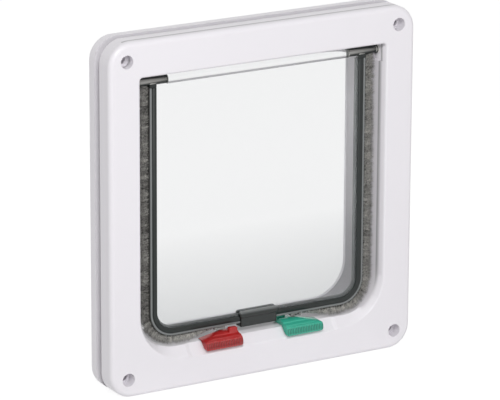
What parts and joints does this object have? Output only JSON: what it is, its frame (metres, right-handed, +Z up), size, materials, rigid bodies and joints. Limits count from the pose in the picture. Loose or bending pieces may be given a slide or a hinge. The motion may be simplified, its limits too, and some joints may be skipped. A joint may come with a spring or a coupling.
{
  "type": "cat flap",
  "caption": "Four-way pet door: white frames and telescopic tunnel, clear swinging flap with brush seal and magnet catch, red and green sliding latches.",
  "frame": {"origin": "middle of the four screw holes, on the plane where the interior frame meets the door", "axes": "+X to the right as seen from the room, +Y out of the house through the door, +Z up"},
  "size_m": [0.2, 0.0446, 0.208],
  "materials": {
    "white_plastic": "satin moulded ABS",
    "clear_plastic": "polished clear polycarbonate",
    "smoked_plastic": "glossy dark smoked plastic",
    "backing_ribbon": "woven ribbon",
    "brush_fibre": "dense soft brush pile",
    "pin_steel": "drawn steel wire",
    "bush_plastic": "natural nylon",
    "magnet_ferrite": "sintered ferrite",
    "red_plastic": "satin red moulding",
    "green_plastic": "satin green moulding"
  },
  "bodies": {
    "frame": {"interior_frame": "white_plastic", "pivot_pin_left": "pin_steel", "pivot_pin_right": "pin_steel", "pivot_bush_left": "bush_plastic", "pivot_bush_right": "bush_plastic", "sill_magnet": "magnet_ferrite"},
    "exterior": {"exterior_frame": "white_plastic"},
    "flap": {"flap_panel": "clear_plastic", "flap_rim": "smoked_plastic", "brush_backing_left": "backing_ribbon", "brush_backing_right": "backing_ribbon", "brush_pile_left": "brush_fibre", "brush_pile_right": "brush_fibre", "lock_stop_left": "clear_plastic", "lock_stop_right": "clear_plastic", "hinge_sleeve_left": "smoked_plastic", "hinge_sleeve_right": "smoked_plastic", "magnet_housing": "smoked_plastic", "magnet_cover": "smoked_plastic", "flap_magnet": "magnet_ferrite"},
    "red_slider": {"red_latch": "red_plastic"},
    "green_slider": {"green_latch": "green_plastic"}
  },
  "joints": [
    {"name": "flap_swing", "type": "hinge", "parent": "frame", "child": "flap", "pos_m": [0, -0.0028, 0.0778], "axis": [1, 0, 0], "range_deg": [-85, 85]},
    {"name": "red_latch_slide", "type": "slide", "parent": "frame", "child": "red_slider", "axis": [-1, 0, 0], "range_m": [0, 0.008]},
    {"name": "green_latch_slide", "type": "slide", "parent": "frame", "child": "green_slider", "axis": [1, 0, 0], "range_m": [0, 0.008]},
    {"name": "exterior_adjust", "type": "slide", "parent": "frame", "child": "exterior", "axis": [0, 1, 0], "range_m": [0, 0.018]}
  ]
}
